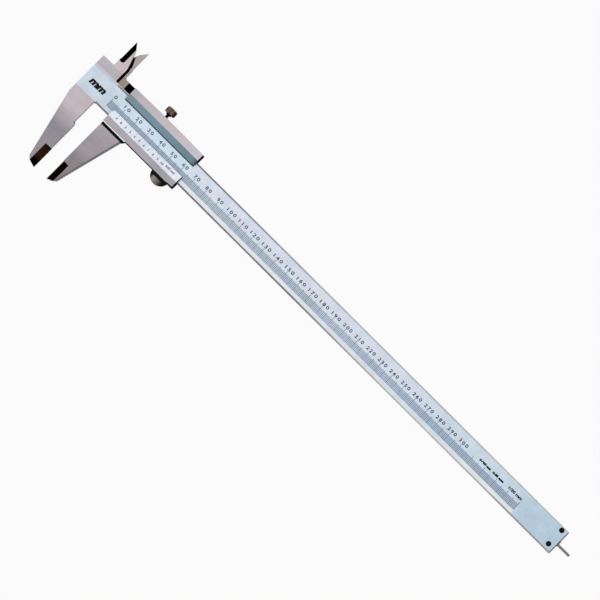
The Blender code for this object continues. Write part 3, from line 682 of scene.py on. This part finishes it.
def slider_zone(x, y, z, normal):
    """Which finish a face of the slider has."""
    # A strip at the slider's right end is painted black as shade.
    if normal.z > TILTED and x > END_STRIP_X:
        return "end_steel"
    # Facets are black as painted dark reflections.
    if abs(normal.z) > TILTED and abs(normal.x) > LEANING:
        if y < 0:
            return "moving_nib"
        return "arm_pocket" if y < ARM_FACET_TOP and normal.z > 0 else "knife_edge"
    if normal.z > TILTED and normal.y > LEANING:
        return "vernier_bevel"
    # The bevel's foot is painted dark as shade.
    if normal.z > TILTED and normal.y < -LEANING:
        return "upper_bevel" if y > BEVEL_FOOT_Y else "bevel_foot"
    if normal.z > FLAT:
        if z > SLIDER_FRONT / MM - LIP_DEPTH:
            return "upper_lip" if y > BEAM_WIDTH / 2 else lower_lip_zone(x, y)
        # The strip along the jaw's outer side is painted shade.
        if y < JAW_ROOT_Y:
            return "moving_jaw" if x < jaw_side_x(y) else "jaw_side"
        # Just under the lip the jaw carries the lip's painted shadow.
        if y < JAW_TOP:
            return "jaw_root"
        # Beside the fixed inside jaw, the moving inside jaw carries its painted shadow.
        if y > BEAM_WIDTH and x < ARM_RIGHT:
            if x < knife_x(y):
                return "knife_edge"
            return "arm" if y < ARM_TOP else "inside_moving"
    if normal.z < -TILTED:
        return "head_ground"
    # Walls facing +X are painted black as shade.
    if normal.x > CHAMFERED and y > JAW_ROOT_Y:
        return "end_steel"
    return wall_zone(normal)


def cut_up(*places):
    """Cuts that run along Y, at these x."""
    return [((x, 0.0), (0.0, 1.0)) for x in places]


def cut_along(*places):
    """Cuts that run along X, at these y."""
    return [((0.0, y), (1.0, 0.0)) for y in places]


BEAM_CUTS = cut_along(EDGE_LOW_TOP, STRIP_TOP, BAND_TOP, EDGE_HIGH_FOOT)
BEAM_CUTS += cut_along(HEAD_LOW, HEAD_BAND_LOW, HEAD_BAND_HIGH, HEAD_TOP)
BEAM_CUTS += cut_up(EDGE_LEFT, HEAD_RIGHT, SCALE_LEFT, SCALE_RIGHT, TAIL_X)
BEAM_CUTS += cut_up(RELIEF_X - LINE_WIDTH, -LINE_WIDTH) + cut_along(STEP_Y, NIB_TOP)
skin("beam_skin", "main_beam", "beam", BEAM_CUTS, beam_zone, FIXED_X)

SLIDER_CUTS = cut_along(ARM_TOP, LIP_END_TOP, LIP_LINE_TOP, LIP_HIGHLIGHT_TOP)
SLIDER_CUTS += cut_along(JAW_ROOT_Y, BEVEL_FOOT_Y)
SLIDER_CUTS += cut_up(FLARE_X, LIP_END_X, END_STRIP_X)
SLIDER_CUTS += cut_along(*(y for _, y in JAW_SHADOW_LINE)) + cut_up(JAW_SHADOW_LINE[-1][0])
SLANTS = [*zip(JAW_SHADOW_LINE, JAW_SHADOW_LINE[1:]), JAW_SIDE_LINE]
SLIDER_CUTS += [(a, (b[0] - a[0], b[1] - a[1])) for a, b in SLANTS]
skin("slider_skin", "slider_body", "slider", SLIDER_CUTS, slider_zone, MOVING_X)


# ---------------------------------------------------------------- marks

# In mm. Inlays rise a little above their face and reach into it.
INK_RISE = 0.012
INK_SINK = 0.05

# The font's size for capitals one unit high.
FONT_SIZE = 1.44
Word = namedtuple("Word", "text x y height width spacing", defaults=(1.0,))


def ink_lift(z):
    """How far above the face a point of an inlay is, in mm, from its side of the shape."""
    return INK_RISE if z > 0 else -INK_SINK


def bars(name, body, point, places, ink):
    """Inlaid lines on a face: places are (centre x, low y, high y, width)."""
    shape = bmesh.new()
    for x, low, high, width in places:
        for vert in bmesh.ops.create_cube(shape, size=1.0)["verts"]:
            across, up, z = vert.co
            y = (low + high) / 2 + up * (high - low)
            vert.co = point(x + across * width, y, ink_lift(z))
    mesh = bpy.data.meshes.new(name)
    shape.to_mesh(mesh)
    shape.free()
    mesh.materials.append(MATERIALS[ink])
    return add_piece(name, mesh, body)


def word_mesh(name, text, height, spacing, weight):
    """The outline of a word as a solid, weight times its height bolder than the font."""
    curve = bpy.data.curves.new(name, "FONT")
    curve.body = text
    curve.size = height * FONT_SIZE
    curve.space_character = spacing
    curve.offset = weight * height
    curve.extrude = 0.5
    curve.resolution_u = 3
    drawn = bpy.data.objects.new(name, curve)
    bpy.context.scene.collection.objects.link(drawn)
    graph = bpy.context.evaluated_depsgraph_get()
    mesh = bpy.data.meshes.new_from_object(drawn.evaluated_get(graph))
    bpy.data.objects.remove(drawn, do_unlink=True)
    return mesh


def letters(name, body, point, words, ink, weight, slant=0.0):
    """Inlaid words on a face, each stretched to its own width about its centre."""
    shape = bmesh.new()
    for text, x, y, height, width, spacing in words:
        mesh = word_mesh(name, text, height, spacing, weight)
        left = min(vert.co.x for vert in mesh.vertices)
        right = max(vert.co.x for vert in mesh.vertices)
        for vert in mesh.vertices:
            across = ((vert.co.x - left) / (right - left) - 0.5) * width
            up = vert.co.y - height / 2
            vert.co = point(x + across + up * slant, y + up, ink_lift(vert.co.z))
        shape.from_mesh(mesh)
        bpy.data.meshes.remove(mesh)
    bmesh.ops.remove_doubles(shape, verts=shape.verts, dist=SAME_PLACE)
    whole = bpy.data.meshes.new(name)
    shape.to_mesh(whole)
    shape.free()
    whole.materials.append(MATERIALS[ink])
    return add_piece(name, whole, body)


TICK_WIDTH, LONG_TICK_WIDTH = 0.18, 0.28
TICK_FOOT, FIVE_TOP, TEN_TOP = 3.7, 8.9, 10.0


def tick_top(step):
    """How high a millimetre line reaches."""
    if step % 10 == 0:
        return TEN_TOP
    return FIVE_TOP if step % 5 == 0 else BAND_TOP


def tick_width(step):
    return TICK_WIDTH if step % 5 else LONG_TICK_WIDTH


TICKS = [
    (SCALE_ZERO + step, TICK_FOOT, tick_top(step), tick_width(step))
    for step in range(SCALE_END + 1)
]
bars("main_scale_lines", "beam", beam_point, TICKS, "scale_ink")

# Figures stand a little right of their lines, and a hair closer together than they.
FIGURE_Y, FIGURE_HEIGHT, FIGURE_GAP = 11.35, 2.1, 1.4
FIGURE_WIDTHS = {1: 2.0, 2: 4.5, 3: 7.1}
FIGURE_PITCH, FIGURE_SHIFT = 0.9985, 0.6


def figure(step):
    """The figure at a ten-millimetre line."""
    text = str(step)
    x = SCALE_ZERO + step * FIGURE_PITCH + FIGURE_SHIFT
    return Word(text, x, FIGURE_Y, FIGURE_HEIGHT, FIGURE_WIDTHS[len(text)], FIGURE_GAP)


FIGURES = [figure(step) for step in range(0, 301, 10)]
letters("main_scale_figures", "beam", beam_point, FIGURES, "scale_ink", weight=0.04)

RANGE_NOTE = Word("0-300 mm", 323.9, FIGURE_Y, 1.25, 9.5)
RESOLUTION_NOTE = Word("0.05 mm", 334.9, FIGURE_Y, 1.25, 9.3)
VERNIER_NOTE = Word("1/20 mm", 349.4, 11.75, 1.7, 11.0)
HEAD_UNIT = Word("mm", -6.6, 8.9, 4.2, 12.0)
letters("range_note", "beam", beam_point, [RANGE_NOTE], "note_ink", weight=0.14)
letters("resolution_note", "beam", beam_point, [RESOLUTION_NOTE], "note_ink", weight=0.14)
letters("vernier_note", "beam", beam_point, [VERNIER_NOTE], "note_ink", weight=0.08)

VERNIER_STEPS = 20
VERNIER_PITCH = 39.0 / VERNIER_STEPS
VERNIER_TOP = BEVEL_HIGH_Y - 0.08
VERNIER_LINE_WIDTH = 0.16
VERNIER_LINE_FEET = (3.9, 4.3)
VERNIER_LINES = [
    (
        SCALE_ZERO + VERNIER_PITCH * step,
        VERNIER_LINE_FEET[step % 2],
        VERNIER_TOP,
        VERNIER_LINE_WIDTH,
    )
    for step in range(VERNIER_STEPS + 1)
]
VERNIER_FIGURE_Y, VERNIER_FIGURE_HEIGHT, VERNIER_DIGIT_WIDTH = 2.5, 1.4, 1.1
VERNIER_FIGURE_SHIFT = 0.1


def vernier_figure(step):
    """The figure at every second line, a little left of it."""
    text = str(step)
    x = SCALE_ZERO + 2 * VERNIER_PITCH * step - VERNIER_FIGURE_SHIFT
    width = VERNIER_DIGIT_WIDTH * len(text)
    return Word(text, x, VERNIER_FIGURE_Y, VERNIER_FIGURE_HEIGHT, width)


VERNIER_FIGURES = [vernier_figure(step) for step in range(VERNIER_STEPS // 2 + 1)]
VERNIER_VALUE = Word("0.05 mm", 50.2, 3.4, 1.2, 7.4)
bars("vernier_lines", "slider", vernier_point, VERNIER_LINES, "vernier_ink")
letters("vernier_figures", "slider", vernier_point, VERNIER_FIGURES, "vernier_ink", weight=0.08)
letters("vernier_value", "slider", vernier_point, [VERNIER_VALUE], "vernier_ink", weight=0.1)
letters("head_unit", "beam", beam_point, [HEAD_UNIT], "note_ink", weight=0.09, slant=0.25)


# ---------------------------------------------------------------- lock screw and finger rest

LATHE_SHARP = math.radians(32)


def lathe(name, profile, steps, ripple):
    """A shape turned about Y: profile is (height, radius), and ripple moves its skin."""
    shape = bmesh.new()
    rings = []
    for height, radius in profile:
        ring = []
        for step in range(steps):
            angle = 2 * math.pi * step / steps
            r = ripple(angle, height, radius)
            ring.append(shape.verts.new((r * math.sin(angle), height, r * math.cos(angle))))
        rings.append(ring)
    for first, second in zip(rings, rings[1:]):
        for step in range(steps):
            after = (step + 1) % steps
            shape.faces.new((first[step], first[after], second[after], second[step]))
    shape.faces.new(reversed(rings[0]))
    shape.faces.new(rings[-1])
    bmesh.ops.recalc_face_normals(shape, faces=shape.faces)
    for face in shape.faces:
        face.smooth = True
    mesh = bpy.data.meshes.new(name)
    shape.to_mesh(mesh)
    shape.free()
    mesh.set_sharp_from_angle(angle=LATHE_SHARP)
    return mesh


LOCK_LOW, LOCK_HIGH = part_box("lock_screw")
LOCK_RADIUS = (LOCK_HIGH.x - LOCK_LOW.x) / 2
LOCK_AXIS = Vector(((LOCK_LOW.x + LOCK_HIGH.x) / 2, 0.0, (LOCK_LOW.z + LOCK_HIGH.z) / 2))
HEAD_DEPTH = 4.4 * MM
STEM_RADIUS = 1.1 * MM
POINT_RADIUS, COLLAR_RADIUS = STEM_RADIUS * 0.55, STEM_RADIUS * 1.7

# Up from the stem's point, down from the head's foot, and in from the rim's two ends.
POINT_TOP, THREAD_START = 0.4 * MM, 0.6 * MM
THREAD_STOP, NECK, COLLAR_FOOT, DARK_TOP = 1.1 * MM, 0.9 * MM, 0.8 * MM, 0.1 * MM
RIM_START, RIM_STOP = 0.5 * MM, 0.9 * MM
THREAD_PITCH, THREAD_FLANK, THREAD_ROOT = 0.5 * MM, 0.25 * MM, 0.84
RIM_RINGS = 16
LATHE_STEPS = 176
KNURL_FROM = LOCK_RADIUS * 0.985
KNURL_RIDGES, KNURL_PITCH = 22, 1.15 * MM
KNURL_DEPTH, KNURL_GROOVE = 0.09 * MM, 0.18

# The head's rounded ends: (mm from the end, share of the rim's radius).
HEAD_FOOT = ((0.02, 0.86), (0.45, 0.97))
HEAD_FACE = (
    (0.85, 0.97),
    (0.3, 0.86),
    (0.05, 0.62),
    (0.12, 0.56),
    (0.12, 0.3),
    (0.0, 0.24),
    (0.0, 0.05),
)


def knurl(angle, height, radius):
    """Crossed grooves on the head's rim; plain elsewhere."""
    if radius < KNURL_FROM:
        return radius
    turn, climb = angle * KNURL_RIDGES / 2, height / KNURL_PITCH * math.pi
    in_groove = abs(math.sin(turn + climb)) * abs(math.sin(turn - climb)) < KNURL_GROOVE
    return radius - KNURL_DEPTH * in_groove


def lock_profile(foot, top):
    """Heights and radii from the stem's point to the head's face."""
    profile = [(LOCK_LOW.y, POINT_RADIUS), (LOCK_LOW.y + POINT_TOP, STEM_RADIUS)]
    y = LOCK_LOW.y + THREAD_START
    while y < foot - THREAD_STOP:
        profile += [(y, STEM_RADIUS), (y + THREAD_FLANK, STEM_RADIUS * THREAD_ROOT)]
        y += THREAD_PITCH
    profile += [(foot - NECK, STEM_RADIUS), (foot - COLLAR_FOOT, COLLAR_RADIUS)]
    profile += [(foot, COLLAR_RADIUS)]
    profile += [(foot + below * MM, LOCK_RADIUS * part) for below, part in HEAD_FOOT]
    low, high = foot + RIM_START, top - RIM_STOP
    rise = high - low
    profile += [(low + rise * i / RIM_RINGS, LOCK_RADIUS) for i in range(RIM_RINGS + 1)]
    return profile + [(top - below * MM, LOCK_RADIUS * part) for below, part in HEAD_FACE]


def make_lock_screw():
    """Thumb screw: dark threaded stem and collar, knurled rim and a turned face."""
    foot = LOCK_HIGH.y - HEAD_DEPTH
    mesh = lathe("lock_knob", lock_profile(foot, LOCK_HIGH.y), LATHE_STEPS, knurl)
    mesh.transform(Matrix.Translation(LOCK_AXIS))
    mesh.materials.append(MATERIALS["knob_bronze"])
    mesh.materials.append(MATERIALS["black_oxide"])
    for face in mesh.polygons:
        face.material_index = int(face.center.y < foot - DARK_TOP)
    add_piece("lock_knob", mesh, "lock_screw", ("lock_screw",))


REST_RADIUS = 6.4 * MM
REST_TOP = BEAM_Y - 4.5 * MM
# Above this height the rest is painted black as the slider lip's shadow.
REST_SHADOW_Y = REST_TOP - 1.5 * MM
REST_EDGE, REST_ANGLE = 0.06 * MM, 50.0
TONGUE = 4.0 * MM

# The rim's teeth, and how far each point of one lies inside the CAD solid's rim.
TEETH = 26
TOOTH = (0.125 * MM, 0.048 * MM, 0.02 * MM, 0.048 * MM)


def rest_outline(centre_x, centre_y, tongue_end):
    """The rest seen from above: a tongue that reaches into the slider, and a toothed rim."""
    left, right = centre_x - TONGUE, centre_x + TONGUE
    outline = [(right, tongue_end), (left, tongue_end), (left, REST_TOP)]
    reach = math.asin((centre_y - REST_TOP) / REST_RADIUS)
    start, end = math.pi + reach, 2 * math.pi - reach
    steps = TEETH * len(TOOTH)
    for i in range(steps + 1):
        angle = start + (end - start) * i / steps
        r = REST_RADIUS - TOOTH[i % len(TOOTH)]
        outline.append((centre_x + r * math.cos(angle), centre_y + r * math.sin(angle)))
    return outline + [(right, REST_TOP)]


def make_finger_rest():
    """Half-round rest with a toothed rim, painted black as the slider lip's shadow where it
    meets the slider.
    """
    low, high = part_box("finger_rest")
    outline = rest_outline((low.x + high.x) / 2, low.y + REST_RADIUS, high.y)
    shape = bmesh.new()
    flat = shape.faces.new([shape.verts.new((x, y, low.z)) for x, y in outline])
    made = bmesh.ops.extrude_face_region(shape, geom=[flat])["geom"]
    lifted = [item for item in made if isinstance(item, bmesh.types.BMVert)]
    bmesh.ops.translate(shape, vec=(0, 0, high.z - low.z), verts=lifted)
    bmesh.ops.recalc_face_normals(shape, faces=shape.faces)
    cut_through(shape, Vector((0.0, REST_SHADOW_Y, 0.0)), Vector((0.0, 1.0, 0.0)))
    for face in shape.faces:
        face.material_index = int(face.calc_center_bounds().y > REST_SHADOW_Y)
    mesh = bpy.data.meshes.new("finger_grip")
    shape.to_mesh(mesh)
    shape.free()
    mesh.materials.append(MATERIALS["grip_steel"])
    mesh.materials.append(MATERIALS["black_oxide"])
    piece = add_piece("finger_grip", mesh, "slider", ("finger_rest",))
    soften(piece, REST_EDGE, angle=REST_ANGLE)


make_lock_screw()
make_finger_rest()


# ---------------------------------------------------------------- carried-over CAD nodes

FINISH = {
    "gib_strip": "bronze",
    "gib_set_screw_1": "black_oxide",
    "gib_set_screw_2": "black_oxide",
    "slider_back_plate": "satin_chrome",
    "back_plate_screw_1": "black_oxide",
    "back_plate_screw_2": "black_oxide",
    "back_plate_screw_3": "black_oxide",
    "back_plate_screw_4": "black_oxide",
    "depth_bar": "rod_steel",
    "depth_bar_rivet_1": "rod_steel",
    "depth_bar_rivet_2": "rod_steel",
    "depth_bar_guide": "head_ground",
    "guide_screw_1": "black_oxide",
    "guide_screw_2": "black_oxide",
}
for node, finish in FINISH.items():
    item = frame["nodes"][node]
    for row in item.material_slots:
        row.material = MATERIALS[finish]


# ---------------------------------------------------------------- floor, light and camera

FLOOR_SIZE, FLOOR_Z = 8.0, -0.2 * MM
FLOOR_PATCH, FLOOR_SHADES, FLOOR_GLOW = 0.3, (0.04, 0.042), 0.935


def make_floor():
    """A white floor that glows by itself, so that it keeps only a faint shadow."""
    bpy.ops.mesh.primitive_plane_add(size=FLOOR_SIZE, location=(0.0, 0.0, FLOOR_Z))
    floor = bpy.context.object
    floor.name = "floor"
    graph = Graph("floor")
    shade = graph.span(graph.noise(FLOOR_PATCH), *FLOOR_SHADES)
    graph.set(
        graph.shader,
        {
            "Base Color": shade,
            "Roughness": 0.9,
            "Specular IOR Level": 0.0,
            "Emission Color": (1.0, 1.0, 1.0, 1.0),
            "Emission Strength": FLOOR_GLOW,
        },
    )
    floor.data.materials.append(graph.material)
    floor.visible_diffuse = False


# The sky's light from straight down to straight up.
SKY = (
    (0.0, 0.05),
    (0.5, 0.12),
    (0.53, 0.34),
    (0.62, 0.42),
    (0.75, 0.44),
    (0.88, 0.64),
    (1.0, 1.0),
)


def make_world():
    """Soft light from above, darker below; white where the camera sees it directly."""
    world = bpy.data.worlds.new("studio")
    bpy.context.scene.world = world
    world.use_nodes = True
    tree = world.node_tree
    nodes, links = tree.nodes, tree.links
    back = nodes["Background"]
    place = nodes.new("ShaderNodeTexCoord")
    split = nodes.new("ShaderNodeSeparateXYZ")
    links.new(place.outputs["Generated"], split.inputs[0])
    level = nodes.new("ShaderNodeMapRange")
    level.inputs["From Min"].default_value = -1.0
    links.new(split.outputs["Z"], level.inputs["Value"])
    ramp = nodes.new("ShaderNodeValToRGB")
    elements = ramp.color_ramp.elements
    while len(elements) < len(SKY):
        elements.new(0.5)
    for element, (height, value) in zip(elements, SKY):
        element.position = height
    for element, (height, value) in zip(elements, SKY):
        element.color = (value, value, value, 1.0)
    links.new(level.outputs[0], ramp.inputs[0])
    seen = nodes.new("ShaderNodeLightPath")
    mix = nodes.new("ShaderNodeMix")
    mix.data_type = "RGBA"
    links.new(seen.outputs["Is Camera Ray"], mix.inputs[0])
    links.new(ramp.outputs[0], mix.inputs[6])
    mix.inputs[7].default_value = (1.0, 1.0, 1.0, 1.0)
    links.new(mix.outputs[2], back.inputs["Color"])


KEY_FROM = (-0.40, 0.53, 0.80)
KEY_POWER, KEY_SPREAD = 0.45, math.radians(20.0)


def make_lights():
    """One soft sun from above the picture's upper edge."""
    sun = bpy.data.lights.new("key", "SUN")
    sun.energy = KEY_POWER
    sun.angle = KEY_SPREAD
    key = bpy.data.objects.new("key", sun)
    bpy.context.scene.collection.objects.link(key)
    key.rotation_euler = Vector(KEY_FROM).to_track_quat("Z", "Y").to_euler()


CAMERA_TURN = math.radians(44.82)
CAMERA_AIM = (FIXED_X + 172.75 * MM, BEAM_Y + 2.8 * MM)
CAMERA_HEIGHT = 1.0
VIEW_WIDTH = 366.5 * MM
SENSOR = 36.0


def make_camera():
    """Straight above the beam, turned so that it lies along the picture's diagonal."""
    lens = bpy.data.cameras.new("camera")
    lens.sensor_width = SENSOR
    lens.lens = SENSOR * CAMERA_HEIGHT / VIEW_WIDTH
    lens.clip_start = 0.01
    camera = bpy.data.objects.new("camera", lens)
    bpy.context.scene.collection.objects.link(camera)
    camera.location = (*CAMERA_AIM, BEAM_FRONT + CAMERA_HEIGHT)
    camera.rotation_euler = (0.0, 0.0, CAMERA_TURN)
    bpy.context.scene.camera = camera


make_floor()
make_world()
make_lights()
make_camera()
bpy.context.scene.view_settings.view_transform = "Standard"
